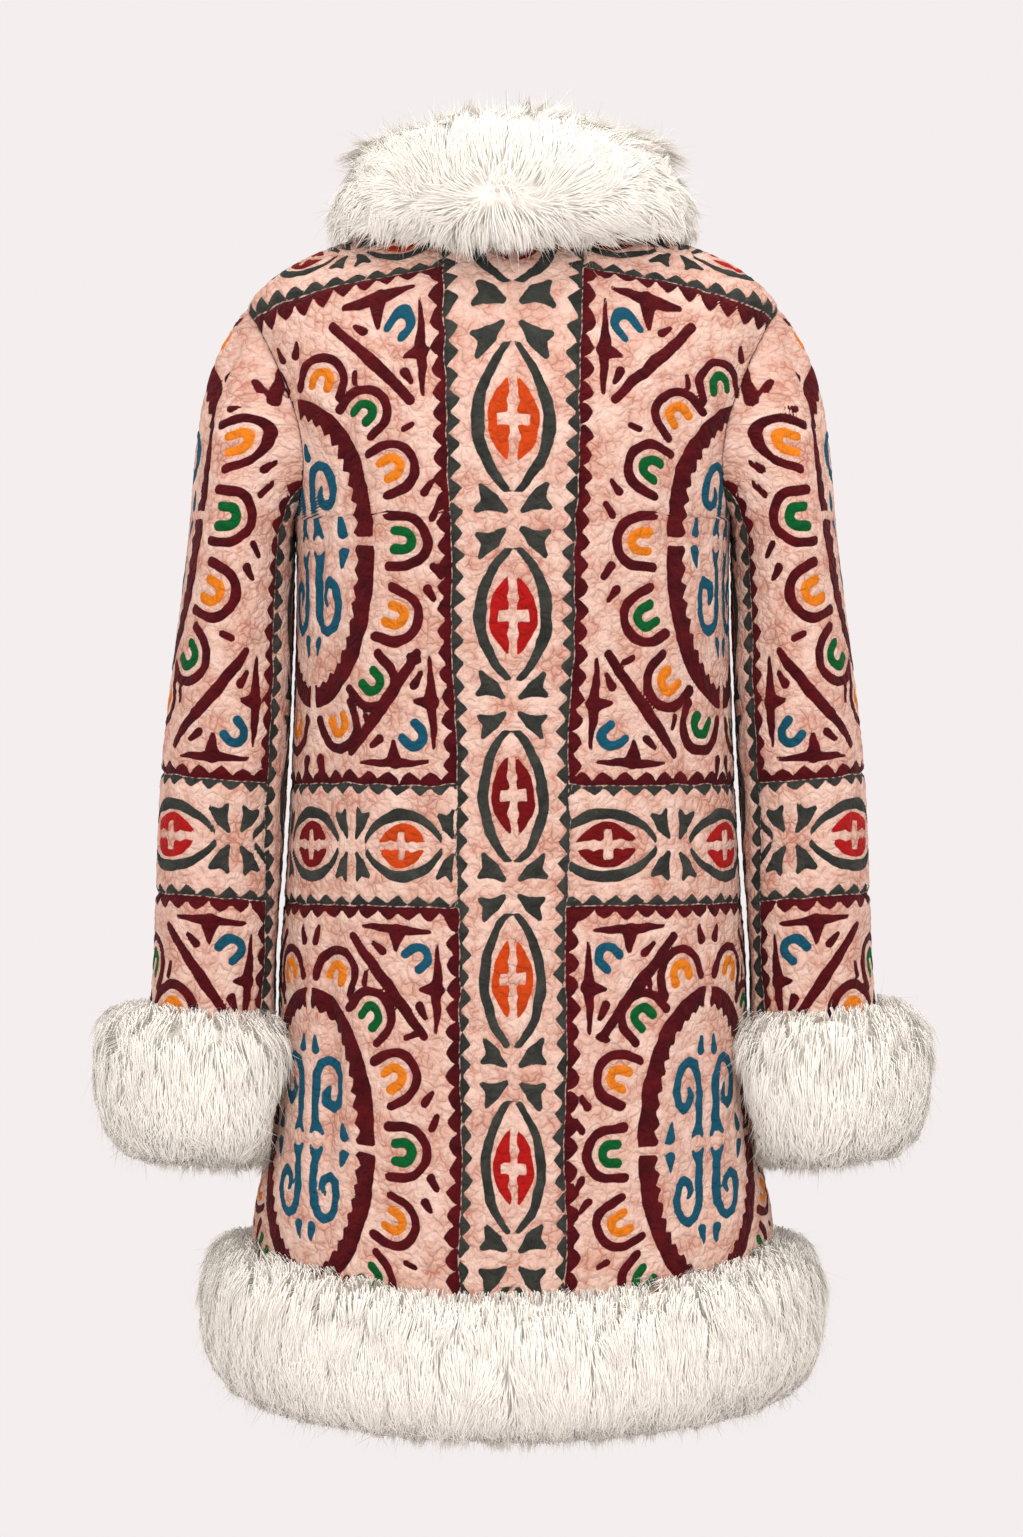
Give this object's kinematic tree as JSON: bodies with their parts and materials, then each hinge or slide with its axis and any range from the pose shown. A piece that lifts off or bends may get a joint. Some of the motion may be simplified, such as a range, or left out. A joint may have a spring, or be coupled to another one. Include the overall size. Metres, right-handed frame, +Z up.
{
  "type": "quilted coat with fur trim",
  "caption": "Thigh-length quilted cotton coat with cut-out applique and a long-pile fur collar, cuffs and hem, in its worn shape with no wearer.",
  "frame": {"origin": "inside the coat between the shoulders, where it rests on the wearer's shoulders and neck", "axes": "+Z up, the wearer faces -Y, +X towards the wearer's left; the picture looks at the back, along -Y"},
  "size_m": [0.6576, 0.3829, 1.004],
  "materials": {
    "quilted_cotton": "crinkled quilted cotton, matte",
    "cream_fur": "long soft pile"
  },
  "bodies": {
    "root": {"back": "quilted_cotton", "front_left": "quilted_cotton", "front_right": "quilted_cotton", "sleeve_left": "quilted_cotton", "sleeve_right": "quilted_cotton", "collar_fur": "cream_fur", "cuff_fur_left": "cream_fur", "cuff_fur_right": "cream_fur", "hem_fur": "cream_fur"}
  },
  "joints": []
}
